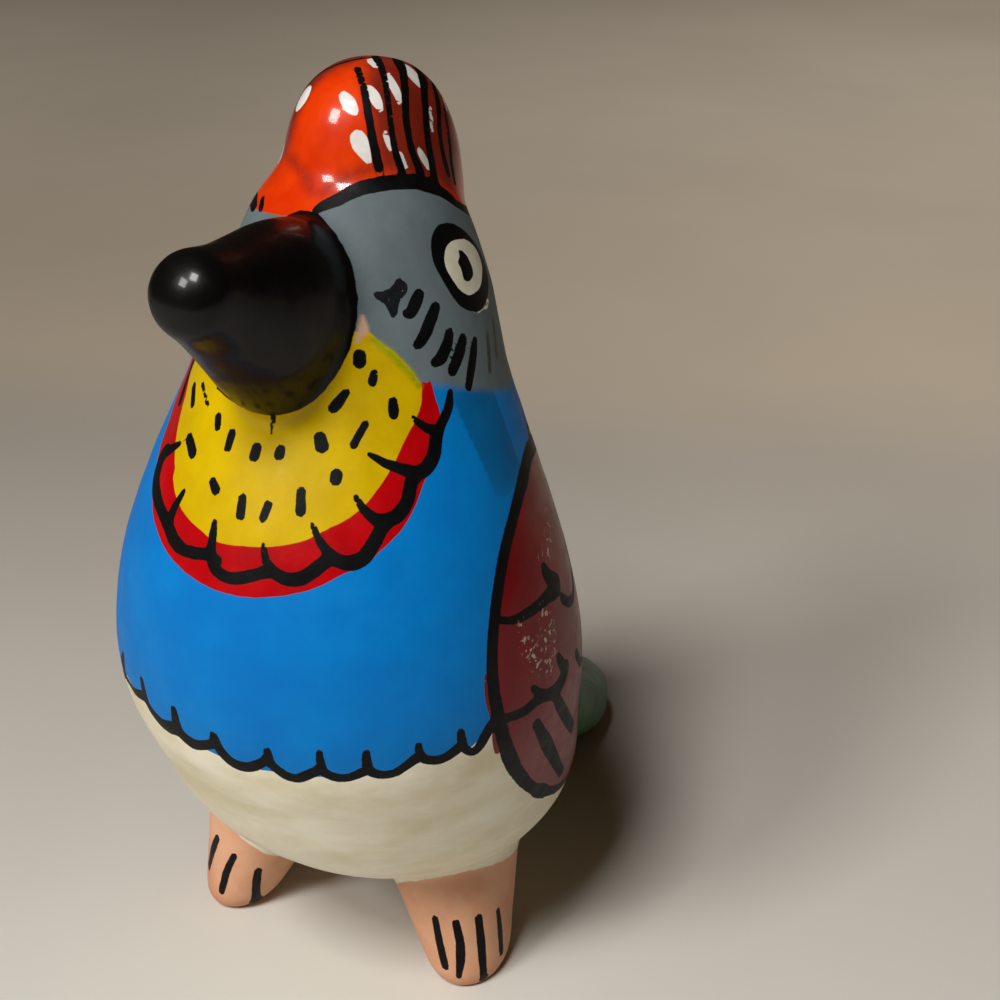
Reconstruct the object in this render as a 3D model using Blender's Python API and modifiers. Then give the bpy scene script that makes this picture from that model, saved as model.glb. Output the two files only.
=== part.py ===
# Hand-modelled ceramic bird: a stout body that narrows to the head, a fat crest, a trumpet beak,
# two stubby legs and a tail that reaches back to the ground. It is one piece of fired clay.
# Metres. The bird faces -Y, its left side is +X, and the ground is z = 0. The forms are laid out
# from the middle of the body, and the whole is then set with its outline centred on the origin.

import math

import bpy
import numpy as np

COLLECTION_NAME = "ceramic_bird_figurine"
NODE_NAME = "bird_figurine"

# The height is set in metres, and the figure keeps its proportions as shares of it
FIGURE_HEIGHT = 0.120

# Body and head
BELLY_WIDTH = 0.477 * FIGURE_HEIGHT
BELLY_CLEARANCE = 0.073 * FIGURE_HEIGHT
HEAD_TOP = 0.942 * FIGURE_HEIGHT

# Crest: a fat fin over the crown, blunt in front and rounder behind
CREST_WIDTH = 0.160 * FIGURE_HEIGHT
CREST_FRONT = 0.105 * FIGURE_HEIGHT
CREST_BACK = 0.079 * FIGURE_HEIGHT
CREST_ROOT = 0.854 * FIGURE_HEIGHT
CREST_SIDE_TAPER = 0.37
CREST_FRONT_TAPER = 0.26
CREST_BACK_TAPER = 0.47
CREST_FULLNESS = 2.3
CREST_SHOULDER = 2.4

# Beak: a trumpet cone, deeper than wide at its root, that points forward and up
BEAK_LENGTH = 0.175 * FIGURE_HEIGHT
BEAK_ROOT_WIDTH = 0.114 * FIGURE_HEIGHT
BEAK_ROOT_DEPTH = 0.177 * FIGURE_HEIGHT
BEAK_TIP_WIDTH = 0.072 * FIGURE_HEIGHT
BEAK_FLARE = 1.05
BEAK_RISE = math.radians(26.5)
BEAK_ROOT_HEIGHT = 0.809 * FIGURE_HEIGHT
BEAK_ROOT_FORWARD = 0.179 * FIGURE_HEIGHT
BEAK_SUNK = 0.045 * FIGURE_HEIGHT
BEAK_TIP_BLUNTNESS = 2.08

# Legs: tapering stubs with flat soles, the pair set a little to the bird's right
LEG_SHIFT = -0.0235 * FIGURE_HEIGHT
LEG_SPREAD = 0.318 * FIGURE_HEIGHT
LEG_TOP_SPREAD = 0.180 * FIGURE_HEIGHT
LEG_TOP_HEIGHT = 0.233 * FIGURE_HEIGHT
LEG_TOP_WIDTH = 0.196 * FIGURE_HEIGHT
LEG_TOP_FORWARD = 0.020 * FIGURE_HEIGHT
FOOT_WIDTH = 0.075 * FIGURE_HEIGHT
FOOT_LENGTH = 0.105 * FIGURE_HEIGHT
FOOT_FORWARD = 0.070 * FIGURE_HEIGHT
FOOT_SUNK = 0.021 * FIGURE_HEIGHT
FOOT_BLUNTNESS = 1.5

# Tail: a thick paddle that slopes down behind and lies on the ground at its end
TAIL_REACH = 0.475 * FIGURE_HEIGHT
TAIL_WIDTH = 0.266 * FIGURE_HEIGHT
TAIL_THICKNESS = 0.128 * FIGURE_HEIGHT
TAIL_END_HEIGHT = 0.040 * FIGURE_HEIGHT
TAIL_ROOT_HEIGHT = 0.260 * FIGURE_HEIGHT
TAIL_ROOT_BACK = 0.090 * FIGURE_HEIGHT
TAIL_SAG = 1.5
TAIL_SQUARENESS = 0.6

# Fineness of the joined surface
BLEND_CELL = FIGURE_HEIGHT / 120
BLEND_PASSES = 5
FACE_SHARE = 0.15

# Where the body is wide and narrow: share of its height, half width as a share of the widest,
# and how far its middle stands behind the origin, as a share of the figure's height
BODY_STATIONS = (
    (0.000, 0.000, 0.075),
    (0.050, 0.540, 0.046),
    (0.120, 0.774, 0.011),
    (0.200, 0.909, -0.023),
    (0.300, 0.963, -0.055),
    (0.410, 1.000, -0.079),
    (0.520, 0.942, -0.089),
    (0.630, 0.814, -0.086),
    (0.740, 0.650, -0.069),
    (0.850, 0.520, -0.046),
    (0.930, 0.395, -0.040),
    (1.000, 0.000, -0.030),
)


def smoothCurve(places, values):
    # Cubic through the given values that doesn't overshoot more than its own slopes ask
    places = np.asarray(places, dtype=float)
    values = np.asarray(values, dtype=float)
    slopes = np.gradient(values, places)

    def at(place):
        place = min(max(place, places[0]), places[-1])
        index = int(min(max(np.searchsorted(places, place) - 1, 0), len(places) - 2))
        span = places[index + 1] - places[index]
        t = (place - places[index]) / span
        start = (1 + 2 * t) * (1 - t) ** 2 * values[index]
        end = t * t * (3 - 2 * t) * values[index + 1]
        lean = t * (1 - t) * ((1 - t) * slopes[index] - t * slopes[index + 1]) * span
        return start + end + lean

    return at


def clearScene():
    for item in list(bpy.data.objects):
        bpy.data.objects.remove(item, do_unlink=True)


def makeCollection(name):
    collection = bpy.data.collections.new(name)
    bpy.context.scene.collection.children.link(collection)
    return collection


def moveToCollection(item, collection):
    for owner in list(item.users_collection):
        owner.objects.unlink(item)
    collection.objects.link(item)


def makePaintedClay():
    material = bpy.data.materials.new("painted_clay")
    material.use_nodes = True
    shader = material.node_tree.nodes["Principled BSDF"]
    shader.inputs["Base Color"].default_value = (0.010, 0.170, 0.520, 1.0)
    shader.inputs["Roughness"].default_value = 0.40
    shader.inputs["Metallic"].default_value = 0.0
    return material


def addBall(name, rings, segments):
    bpy.ops.mesh.primitive_uv_sphere_add(segments=segments, ring_count=rings, radius=1.0)
    ball = bpy.context.object
    ball.name = name
    return ball


def shapeBall(ball, place):
    # Puts each point of a unit ball where the form has it
    for vertex in ball.data.vertices:
        vertex.co = place(vertex.co.x, vertex.co.y, vertex.co.z)
    ball.data.update()


def makeBody():
    shares = [station[0] for station in BODY_STATIONS]
    halfWidth = smoothCurve(shares, [station[1] ** 2 for station in BODY_STATIONS])
    middle = smoothCurve(shares, [station[2] for station in BODY_STATIONS])
    bodyHeight = HEAD_TOP - BELLY_CLEARANCE

    def place(x, y, z):
        share = (1 + z) / 2
        flat = math.hypot(x, y)
        radius = 0.5 * BELLY_WIDTH * math.sqrt(max(halfWidth(share), 0.0))
        along = (x / flat, y / flat) if flat > 1e-6 else (0.0, 0.0)
        return (
            along[0] * radius,
            along[1] * radius + middle(share) * FIGURE_HEIGHT,
            BELLY_CLEARANCE + share * bodyHeight,
        )

    body = addBall(NODE_NAME, rings=48, segments=64)
    shapeBall(body, place)
    return body


def makeCrest():
    # Its sides stay upright up to the shoulder and then close in, so the top is a round ridge
    rise = FIGURE_HEIGHT - CREST_ROOT

    def place(x, y, z):
        flat = math.hypot(x, y)
        along = (x / flat, y / flat) if flat > 1e-6 else (0.0, 0.0)
        fuller = (abs(along[0]) ** CREST_FULLNESS + abs(along[1]) ** CREST_FULLNESS + 1e-9)
        fuller = fuller ** (-1 / CREST_FULLNESS)
        left = 1.0 - max(z, 0.0) ** CREST_SHOULDER
        sunk = math.sqrt(max(1 - min(z, 0.0) ** 2, 0.0)) * fuller
        wide = CREST_WIDTH / 2 * left ** CREST_SIDE_TAPER
        if y < 0:
            long = CREST_FRONT * left ** CREST_FRONT_TAPER
        else:
            long = CREST_BACK * left ** CREST_BACK_TAPER
        return (along[0] * wide * sunk, along[1] * long * sunk, CREST_ROOT + z * rise)

    crest = addBall("crest_form", rings=40, segments=48)
    shapeBall(crest, place)
    return crest


def makeBeak():
    # The flare falls off much as half a cosine wave does, and the tip is round
    def place(x, y, z):
        flat = math.hypot(x, y)
        along = (x / flat, y / flat) if flat > 1e-6 else (0.0, 0.0)
        forward = -BEAK_SUNK + (1 + z) / 2 * (BEAK_LENGTH + BEAK_SUNK)
        share = max(forward, 0.0) / BEAK_LENGTH
        flare = ((1 + math.cos(math.pi * share)) / 2) ** BEAK_FLARE
        closing = min(1.0, BEAK_TIP_BLUNTNESS * math.sqrt(max(1 - z * z, 0.0)))
        wide = (BEAK_TIP_WIDTH + (BEAK_ROOT_WIDTH - BEAK_TIP_WIDTH) * flare) / 2 * closing
        deep = (BEAK_TIP_WIDTH + (BEAK_ROOT_DEPTH - BEAK_TIP_WIDTH) * flare) / 2 * closing
        lift = along[1] * deep
        return (
            along[0] * wide,
            -BEAK_ROOT_FORWARD - forward * math.cos(BEAK_RISE) + lift * math.sin(BEAK_RISE),
            BEAK_ROOT_HEIGHT + forward * math.sin(BEAK_RISE) + lift * math.cos(BEAK_RISE),
        )

    beak = addBall("beak_form", rings=40, segments=48)
    shapeBall(beak, place)
    return beak


def makeLeg(side):
    # Its sole is cut flat by the ground, just where the foot begins to round off
    def place(x, y, z):
        share = (1 - z) / 2
        flat = math.hypot(x, y)
        along = (x / flat, y / flat) if flat > 1e-6 else (0.0, 0.0)
        closing = min(1.0, FOOT_BLUNTNESS * math.sqrt(max(1 - z * z, 0.0)))
        wide = (LEG_TOP_WIDTH + (FOOT_WIDTH - LEG_TOP_WIDTH) * share) / 2 * closing
        long = (LEG_TOP_WIDTH + (FOOT_LENGTH - LEG_TOP_WIDTH) * share) / 2 * closing
        spread = (LEG_TOP_SPREAD + (LEG_SPREAD - LEG_TOP_SPREAD) * share) / 2
        forward = LEG_TOP_FORWARD + (FOOT_FORWARD - LEG_TOP_FORWARD) * share
        return (
            LEG_SHIFT + side * spread + along[0] * wide,
            -forward + along[1] * long,
            LEG_TOP_HEIGHT - share * (LEG_TOP_HEIGHT + FOOT_SUNK),
        )

    leg = addBall("leg_form_left" if side > 0 else "leg_form_right", rings=24, segments=32)
    shapeBall(leg, place)
    return leg


def makeTail():
    # Square with round corners from above, and thick to its very end
    def squared(value):
        return math.copysign(abs(value) ** TAIL_SQUARENESS, value)

    def place(x, y, z):
        share = (1 + squared(y)) / 2
        sag = TAIL_END_HEIGHT + (TAIL_ROOT_HEIGHT - TAIL_END_HEIGHT) * (1 - share) ** TAIL_SAG
        return (
            squared(x) * TAIL_WIDTH / 2,
            TAIL_ROOT_BACK + share * (TAIL_REACH - TAIL_ROOT_BACK),
            sag + squared(z) * TAIL_THICKNESS / 2,
        )

    tail = addBall("tail_form", rings=32, segments=40)
    shapeBall(tail, place)
    return tail


def makeGround():
    # The block below z = 0 that cuts the soles and the tail's end flat
    bpy.ops.mesh.primitive_cube_add(size=2 * FIGURE_HEIGHT)
    ground = bpy.context.object
    ground.name = "ground_cut"
    for vertex in ground.data.vertices:
        vertex.co.z -= FIGURE_HEIGHT
    return ground


def makeStand():
    # Sets the beak's tip as far in front of the origin as the tail's end is behind it
    beakTip = BEAK_ROOT_FORWARD + BEAK_LENGTH * math.cos(BEAK_RISE)
    stand = bpy.data.objects.new("stand", None)
    stand.location = (0.0, (beakTip - TAIL_REACH) / 2, 0.0)
    return stand


def hideHelper(item):
    item.hide_render = True
    item.display_type = "WIRE"


def joinForm(body, form):
    union = body.modifiers.new("join_" + form.name, "BOOLEAN")
    union.operation = "UNION"
    union.object = form
    hideHelper(form)


def blendAndCut(body, ground):
    # Melts the joins as a wet sponge does, then thins the mesh and cuts the flats
    remesh = body.modifiers.new("even_skin", "REMESH")
    remesh.mode = "VOXEL"
    remesh.voxel_size = BLEND_CELL
    soften = body.modifiers.new("sponged_joins", "SMOOTH")
    soften.factor = 0.5
    soften.iterations = BLEND_PASSES
    thin = body.modifiers.new("fewer_faces", "DECIMATE")
    thin.ratio = FACE_SHARE
    flats = body.modifiers.new("flat_soles", "BOOLEAN")
    flats.operation = "DIFFERENCE"
    flats.object = ground
    hideHelper(ground)


def main():
    clearScene()
    parts = makeCollection(COLLECTION_NAME)
    helpers = makeCollection("helpers")
    body = makeBody()
    forms = [makeCrest(), makeBeak(), makeLeg(1), makeLeg(-1), makeTail()]
    ground = makeGround()
    for form in forms:
        joinForm(body, form)
    blendAndCut(body, ground)
    body.data.materials.append(makePaintedClay())
    body.data.shade_smooth()
    moveToCollection(body, parts)
    for helper in forms + [ground]:
        moveToCollection(helper, helpers)
    stand = makeStand()
    parts.objects.link(stand)
    for item in [body, ground] + forms:
        item.parent = stand


main()
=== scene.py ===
import math

import bmesh
import bpy
import numpy as np
from mathutils import Matrix, Vector, noise
from mathutils.bvhtree import BVHTree


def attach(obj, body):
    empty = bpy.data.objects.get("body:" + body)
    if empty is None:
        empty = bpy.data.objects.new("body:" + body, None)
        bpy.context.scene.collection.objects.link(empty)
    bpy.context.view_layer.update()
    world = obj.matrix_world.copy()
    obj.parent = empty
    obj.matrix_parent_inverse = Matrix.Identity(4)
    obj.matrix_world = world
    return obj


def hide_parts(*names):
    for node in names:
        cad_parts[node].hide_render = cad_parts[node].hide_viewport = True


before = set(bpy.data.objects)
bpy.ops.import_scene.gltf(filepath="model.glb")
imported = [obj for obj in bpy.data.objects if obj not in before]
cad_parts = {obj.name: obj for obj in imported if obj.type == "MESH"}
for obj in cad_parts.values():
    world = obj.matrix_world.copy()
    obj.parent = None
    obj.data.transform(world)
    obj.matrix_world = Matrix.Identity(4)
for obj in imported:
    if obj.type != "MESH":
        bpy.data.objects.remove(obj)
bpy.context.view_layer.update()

# Camera, at the photograph's angle

cameraSettings = {
    "place": (0.07896, -0.15596, 0.15480),
    "yaw": 23.23,
    "pitch": 28.25,
    "roll": 0.73,
    "lens": 54.0,
    "sensor": 36.0,
    "near": 0.01,
    "far": 30.0,
    "pictureSide": 1000.0,  # pixels
}


def cameraAxes():
    yaw = math.radians(cameraSettings["yaw"])
    pitch = math.radians(cameraSettings["pitch"])
    roll = math.radians(cameraSettings["roll"])
    look = Vector((-math.sin(yaw) * math.cos(pitch), math.cos(yaw) * math.cos(pitch), -math.sin(pitch)))
    across = Vector((math.cos(yaw), math.sin(yaw), 0.0))
    up = across.cross(look)
    right = across * math.cos(roll) + up * math.sin(roll)
    top = up * math.cos(roll) - across * math.sin(roll)
    return right, top, look


def makeCamera():
    right, top, look = cameraAxes()
    data = bpy.data.cameras.new("photoCamera")
    data.lens = cameraSettings["lens"]
    data.sensor_fit = "HORIZONTAL"
    data.sensor_width = cameraSettings["sensor"]
    data.clip_start = cameraSettings["near"]
    data.clip_end = cameraSettings["far"]
    camera = bpy.data.objects.new("photoCamera", data)
    turn = Matrix((right, top, -look)).transposed().to_4x4()
    camera.matrix_world = Matrix.Translation(cameraSettings["place"]) @ turn
    bpy.context.scene.collection.objects.link(camera)
    bpy.context.scene.camera = camera


makeCamera()
print("camera placed")

# Skin of fired clay, over the solid's form

skinSettings = {
    "cell": 0.00058,
    "smoothPasses": 12,
    "weld": 1e-6,
    "unevenness": ((0.011, 0.00011), (0.0035, 0.00005)),  # size and depth of the hand's waves
    "flatBelow": 0.0015,  # the soles stay flat up to this height
    "fullAbove": 0.0075,
}


def linkObject(name, mesh):
    thing = bpy.data.objects.new(name, mesh)
    bpy.context.scene.collection.objects.link(thing)
    return thing


def readVectors(items, kind):
    values = np.empty(len(items) * 3)
    items.foreach_get(kind, values)
    return values.reshape(-1, 3)


def shapeSkin():
    form = bmesh.new()
    form.from_mesh(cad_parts["bird_figurine"].data)
    bmesh.ops.remove_doubles(form, verts=form.verts, dist=skinSettings["weld"])
    rough = bpy.data.meshes.new("skinStart")
    form.to_mesh(rough)
    form.free()
    start = linkObject("skinStart", rough)
    remesh = start.modifiers.new("evenMesh", "REMESH")
    remesh.mode = "VOXEL"
    remesh.voxel_size = skinSettings["cell"]
    smooth = start.modifiers.new("soften", "SMOOTH")
    smooth.factor = 0.5
    smooth.iterations = skinSettings["smoothPasses"]
    graph = bpy.context.evaluated_depsgraph_get()
    mesh = bpy.data.meshes.new_from_object(start.evaluated_get(graph))
    mesh.name = "paintedBird"
    bpy.data.objects.remove(start)
    places = readVectors(mesh.vertices, "co")
    normals = readVectors(mesh.vertex_normals, "vector")
    drift = np.zeros(len(places))
    for size, depth in skinSettings["unevenness"]:
        drift += np.array([noise.noise(Vector(place) / size) for place in places]) * depth
    rise = skinSettings["fullAbove"] - skinSettings["flatBelow"]
    drift *= np.clip((places[:, 2] - skinSettings["flatBelow"]) / rise, 0, 1)
    places += normals * drift[:, None]
    places[:, 2] = np.maximum(places[:, 2], 0.0)
    mesh.vertices.foreach_set("co", places.ravel())
    mesh.update()
    mesh.shade_smooth()
    return linkObject("paintedBird", mesh)


bird = shapeSkin()
skinPoints = readVectors(bird.data.vertices, "co")
skinTree = BVHTree.FromObject(bird, bpy.context.evaluated_depsgraph_get())
print("skin shaped", len(bird.data.polygons), "faces")

# Tools that carry brush work from the picture plane onto the skin

perMetre = 1000  # millimetres
brushSettings = {
    "reach": 0.0025,  # how far from an edge its distance is kept
    "step": 2.5,  # pixels between the points of a traced line
    "leastStep": 1e-7,
    "widest": 2.2,  # most that a line may widen on a slanting face
    "thinnest": 0.00029,  # least half width that the skin's mesh can show
    "nearestLook": 0.13,  # how far from the eye a missed line of sight seeks the skin
    "farthestLook": 0.28,
    "looks": 90,
    "patchDepth": 0.002,  # how far past its outline a small shape is still judged
    "axisBack": -0.0152,  # y of the upright axis that turns are measured round
    "outside": 0.12,  # far enough from that axis to be off the bird
    "wrapStep": 1.5,  # degrees or millimetres between the points of a wrapped line
}
rightAxis, topAxis, lookAxis = cameraAxes()
eyePoint = Vector(cameraSettings["place"])
pixelsPerUnit = cameraSettings["lens"] / cameraSettings["sensor"] * cameraSettings["pictureSide"]


def sightLine(across, down):
    middle = cameraSettings["pictureSide"] / 2
    sideways = rightAxis * (across - middle) / pixelsPerUnit
    downward = topAxis * (down - middle) / pixelsPerUnit
    return (lookAxis + sideways - downward).normalized()


def onBird(across, down):
    ray = sightLine(across, down)
    hit = skinTree.ray_cast(eyePoint, ray)[0]
    if hit is not None:
        return hit
    nearest = None
    looks = np.linspace(brushSettings["nearestLook"], brushSettings["farthestLook"], brushSettings["looks"])
    for distance in looks:
        found = skinTree.find_nearest(eyePoint + ray * distance)
        if nearest is None or found[3] < nearest[3]:
            nearest = found
    return nearest[0]


def smoothPath(corners, step):
    corners = np.array(corners, float)
    if len(corners) < 2:
        return corners
    ends = np.vstack([2 * corners[0] - corners[1], corners, 2 * corners[-1] - corners[-2]])
    path = []
    for index in range(1, len(ends) - 2):
        before, start, finish, after = ends[index - 1:index + 3]
        count = max(2, int(np.linalg.norm((finish - start)[:2]) / step) + 1)
        for share in np.arange(count) / count:
            path.append(0.5 * (2 * start + (finish - before) * share
                               + (2 * before - 5 * start + 4 * finish - after) * share ** 2
                               + (3 * start - before - 3 * finish + after) * share ** 3))
    path.append(corners[-1])
    return np.array(path)


def traceLine(corners):
    # corners are (across, down, width) in pixels of the picture
    path = smoothPath(corners, brushSettings["step"])
    points = []
    radii = []
    for index, (across, down, wide) in enumerate(path):
        place = onBird(across, down)
        ahead = path[min(index + 1, len(path) - 1)] - path[max(index - 1, 0)]
        stride = max(brushSettings["leastStep"], math.hypot(ahead[0], ahead[1]))
        sideways = np.array((-ahead[1], ahead[0])) / stride * wide / 2
        plain = wide / 2 * (place - eyePoint).length / pixelsPerUnit
        spread = (onBird(across + sideways[0], down + sideways[1])
                  - onBird(across - sideways[0], down - sideways[1])).length / 2
        points.append(place)
        radii.append(min(max(plain, spread), plain * brushSettings["widest"]))
    return np.array(points), np.array(radii)


def traceEdge(corners, closed=False):
    rows = list(corners)
    if closed:
        rows = rows + [rows[0]]
    return np.array([onBird(across, down) for across, down in smoothPath(rows, brushSettings["step"])])


def mirrored(points, back=0.0):
    flipped = [skinTree.find_nearest(Vector((-x, y + back, z)))[0] for x, y, z in points]
    return np.array(flipped)


def emptyField():
    return np.full(len(skinPoints), -brushSettings["reach"])


def withinReach(distances):
    return np.clip(distances, -brushSettings["reach"], brushSettings["reach"])


def boxAround(points):
    low = points.min(0) - brushSettings["reach"]
    high = points.max(0) + brushSettings["reach"]
    return np.flatnonzero(np.all((skinPoints > low) & (skinPoints < high), axis=1))


def alongPiece(spots, start, finish):
    # share of the way along the piece of line, and the gap from it, for each spot
    along = finish - start
    share = np.clip((spots - start) @ along / max(brushSettings["leastStep"] ** 2, along @ along), 0, 1)
    return share, np.linalg.norm(spots - start - share[:, None] * along, axis=1)


def layStroke(field, points, radii):
    near = boxAround(points)
    spots = skinPoints[near]
    best = np.full(len(near), -brushSettings["reach"])
    radii = np.maximum(radii, brushSettings["thinnest"])
    if len(points) == 1:
        best = radii[0] - np.linalg.norm(spots - points[0], axis=1)
    for index in range(len(points) - 1):
        share, gap = alongPiece(spots, points[index], points[index + 1])
        best = np.maximum(best, radii[index] + (radii[index + 1] - radii[index]) * share - gap)
    field[near] = np.maximum(field[near], best)


def insideOutline(spots, outline):
    inside = np.zeros(len(spots), bool)
    for index in range(len(outline)):
        (x0, y0), (x1, y1) = outline[index - 1], outline[index]
        if y0 == y1:
            continue
        crossing = (spots[:, 1] < y0) != (spots[:, 1] < y1)
        inside ^= crossing & (spots[:, 0] < x0 + (spots[:, 1] - y0) * (x1 - x0) / (y1 - y0))
    return inside


def edgeDistance(outline):
    outline = np.vstack([outline, outline[:1]])
    near = boxAround(outline)
    spots = skinPoints[near]
    best = np.full(len(near), brushSettings["reach"])
    for index in range(len(outline) - 1):
        best = np.minimum(best, alongPiece(spots, outline[index], outline[index + 1])[1])
    gap = np.full(len(skinPoints), brushSettings["reach"])
    gap[near] = best
    return gap


def layPatch(field, outline):
    # a small filled shape, judged in the plane that fits its outline best
    middle = outline.mean(0)
    axes = np.linalg.svd(outline - middle)[2]
    gap = edgeDistance(outline)
    widest = np.linalg.norm(outline - middle, axis=1).max() + brushSettings["patchDepth"]
    near = np.linalg.norm(skinPoints - middle, axis=1) < widest
    flat = (skinPoints - middle) @ axes[:2].T
    inside = insideOutline(flat, (outline - middle) @ axes[:2].T) & near
    field[:] = np.maximum(field, np.where(inside, gap, -gap))


def turnOf(points):
    return np.degrees(np.arctan2(points[:, 0], brushSettings["axisBack"] - points[:, 1]))


def heightLine(name, stations):
    # stations are (turn in degrees, height); above the line is inside
    turns, heights = np.array(stations).T
    above = skinPoints[:, 2] - np.interp(turnOf(skinPoints), turns, heights)
    fields[name] = withinReach(above)


def roundBird(front, hidden):
    # the stations in front, with those further round the same on both sides
    return tuple((-turn, height) for turn, height in reversed(hidden)) + front + hidden


fields = {}


def layLines(name, lines, trace, both, back=0.0):
    field = fields.setdefault(name, emptyField())
    for corners in lines.values():
        points, radii = trace(corners)
        layStroke(field, points, radii)
        if both:
            layStroke(field, mirrored(points, back), radii)


def strokesOn(name, lines, both=False, back=0.0):
    layLines(name, lines, traceLine, both, back)


def patchesOn(name, shapes, both=False):
    field = fields.setdefault(name, emptyField())
    for corners in shapes.values():
        outline = traceEdge(corners, closed=True)
        layPatch(field, outline)
        if both:
            layPatch(field, mirrored(outline))


def aroundBird(turn, height):
    # a point on the skin, named by its turn from the front and its height
    outward = Vector((math.sin(math.radians(turn)), -math.cos(math.radians(turn)), 0.0))
    start = Vector((0.0, brushSettings["axisBack"], height)) + outward * brushSettings["outside"]
    hit = skinTree.ray_cast(start, -outward)[0]
    return hit if hit is not None else skinTree.find_nearest(start)[0]


def wrapLine(stations):
    # stations are (turn, height in millimetres, line width in millimetres)
    rows = np.array(stations, float)
    path = smoothPath(rows, brushSettings["wrapStep"])
    return np.array([aroundBird(row[0], row[1] / perMetre) for row in path]), path[:, 2] / 2 / perMetre


def wrapStrokes(name, lines, both=False):
    layLines(name, lines, wrapLine, both)


def wrapPatch(name, outline):
    # a large shape that goes round the bird, judged by turn and height
    field = fields.setdefault(name, emptyField())
    gap = edgeDistance(outline)
    chart = np.column_stack([turnOf(outline), outline[:, 2] * perMetre])
    spots = np.column_stack([turnOf(skinPoints), skinPoints[:, 2] * perMetre])
    inside = insideOutline(spots, chart)
    field[:] = np.maximum(field, np.where(inside, gap, -gap))


# Crest: orange-red, with white drops between black feather strokes, and painted shade on its sides and
# above its base

farSideBack = 0.0036  # how much further back the far side's marks start
crestStrokes = {
    "first": ((357.2, 68.0, 6.5), (363.7, 87.8, 7.5), (368.5, 115, 8), (373.3, 142, 9),
        (378.9, 167.6, 10)),
    "second": ((374.9, 55.1, 3.5), (380.5, 65.5, 5), (384.4, 78.3, 6), (388.4, 103.8, 6),
        (391.6, 129.3, 6), (395.6, 151.6, 7), (402, 171.5, 8)),
    "third": ((396.4, 57.5, 5), (402.8, 71.9, 6), (405.2, 92.6, 7), (406, 116.5, 7), (409.2, 138.9, 7),
        (414.7, 158, 7), (421.1, 172.3, 7)),
    "fourth": ((415.5, 66.3, 5), (422.7, 78.3, 6), (425.1, 103.8, 6), (426.7, 129.3, 6),
        (429.9, 151.6, 6.5), (434.7, 180.3, 7)),
    "fifth": ((432.3, 79, 3), (438.2, 103.8, 4), (439.5, 129.3, 4), (442.6, 151.6, 4), (448.2, 173.9, 4)),
    "sixth": ((444.6, 108.5, 2.5), (448.8, 135.7, 3), (451.4, 161.2, 3), (455.2, 183.5, 3)),
}
crestBase = {
    "along the head": ((316, 211, 7), (322, 206.5, 10), (339.8, 198.6, 13), (354.4, 191, 14),
        (368.5, 186.5, 15), (384, 183.5, 15), (400.4, 181.9, 15.5), (416.3, 181.9, 15),
        (432.3, 186.7, 12), (441.8, 192, 8), (452, 199, 6)),
}
crestFarEnds = {
    "outer": ((255.3, 192.3, 5), (253.7, 200, 6.5), (254.2, 207.4, 5)),
    "inner": ((262.5, 197.8, 3), (261.4, 204, 4), (260.9, 209.8, 3.5)),
}
crestFrontDrops = {
    "front upper": ((342.6, 94.5, 8), (346.5, 99.5, 13), (350.5, 106, 13.5), (354.5, 112, 8)),
    "front lower": ((357.8, 137.5, 15), (360.2, 144, 17), (364, 151.5, 13), (369, 162, 5)),
    "second upper": ((368.5, 88, 7), (373, 94, 11), (377, 102, 10), (380.6, 110, 4)),
    "second top": ((371.5, 59.5, 4), (373.8, 62.7, 5.5), (376.8, 67, 4)),
    "far upper": ((306, 91, 6), (303, 97, 11), (299.5, 104, 7)),
    "far lower": ((284, 143, 6), (281.5, 150, 9), (279, 157, 6)),
}
crestDrops = {
    "second lower": ((384.4, 132, 4), (387, 139, 6), (391, 149, 5)),
    "third upper": ((387.5, 73.5, 4), (391.5, 82, 7.5), (396.5, 92, 8), (399.8, 103, 4)),
    "third lower": ((400, 154, 2.5), (402.6, 160, 3.5), (405.6, 167.5, 2.5)),
    "fourth upper": ((406.5, 66.5, 5), (411.3, 72.5, 8), (416.5, 80, 7), (419, 84.5, 4)),
    "fourth lower": ((418.5, 149.5, 4), (422, 155.5, 6), (428.5, 166.5, 5)),
    "fifth upper": ((430, 108, 2.5), (431.4, 120, 3.5), (432.2, 131, 2.5)),
    "sixth upper": ((443.2, 98.5, 2), (446.8, 109.5, 2.5)),
}
# Painted shade: a dark red layer over the sides of the crest
crestSideShade = {
    "dark red on the side": ((372, 52), (366, 80), (371, 120), (378, 165), (402, 176), (436, 184),
        (455, 188), (459, 160), (454, 124), (443, 96), (424, 68), (400, 53)),
}
# Painted shade: a darker strip on the crest just above its black base line
crestShade = {
    "above the base": ((322, 193, 3), (338, 182, 5), (356, 173, 6), (374, 168, 6)),
}
crestLine = (
    (-180, .1015), (-150, .1020), (-125, .1028), (-104, .1036), (-90, .1042), (-74, .1048), (-60, .1052),
    (-49, .1054), (-20, .1060), (0, .1068), (12, .1074), (19, .1080), (37, .1088), (73, .1091),
    (90, .1085), (104, .1074), (111, .1057), (140, .1025), (180, .1015),
)
crestBack = {
    "near side": ((108, 106.0, 1.0), (125, 103.8, 1.3), (150, 102.2, 1.4), (180, 101.6, 1.4)),
    "far side": ((-70, 105.0, 0.8), (-80, 104.8, 1.4), (-92, 104.2, 1.5), (-108, 103.5, 1.5),
        (-125, 102.8, 1.4), (-150, 102.0, 1.4), (-180, 101.6, 1.4)),
}


def paintCrest():
    heightLine("crest", crestLine)
    # painted shade over the crest's sides and in a strip above its base
    patchesOn("paintedCrestShade", crestSideShade, both=True)
    strokesOn("paintedCrestShade", crestShade, both=True)
    strokesOn("dots", crestFrontDrops)
    strokesOn("dots", crestDrops, both=True, back=farSideBack)
    strokesOn("ink", crestStrokes, both=True, back=farSideBack)
    strokesOn("ink", crestBase)
    wrapStrokes("ink", crestBack)
    strokesOn("ink", crestFarEnds)


paintCrest()
print("crest painted")

# Beak: black, up to a ring round its root

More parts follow.
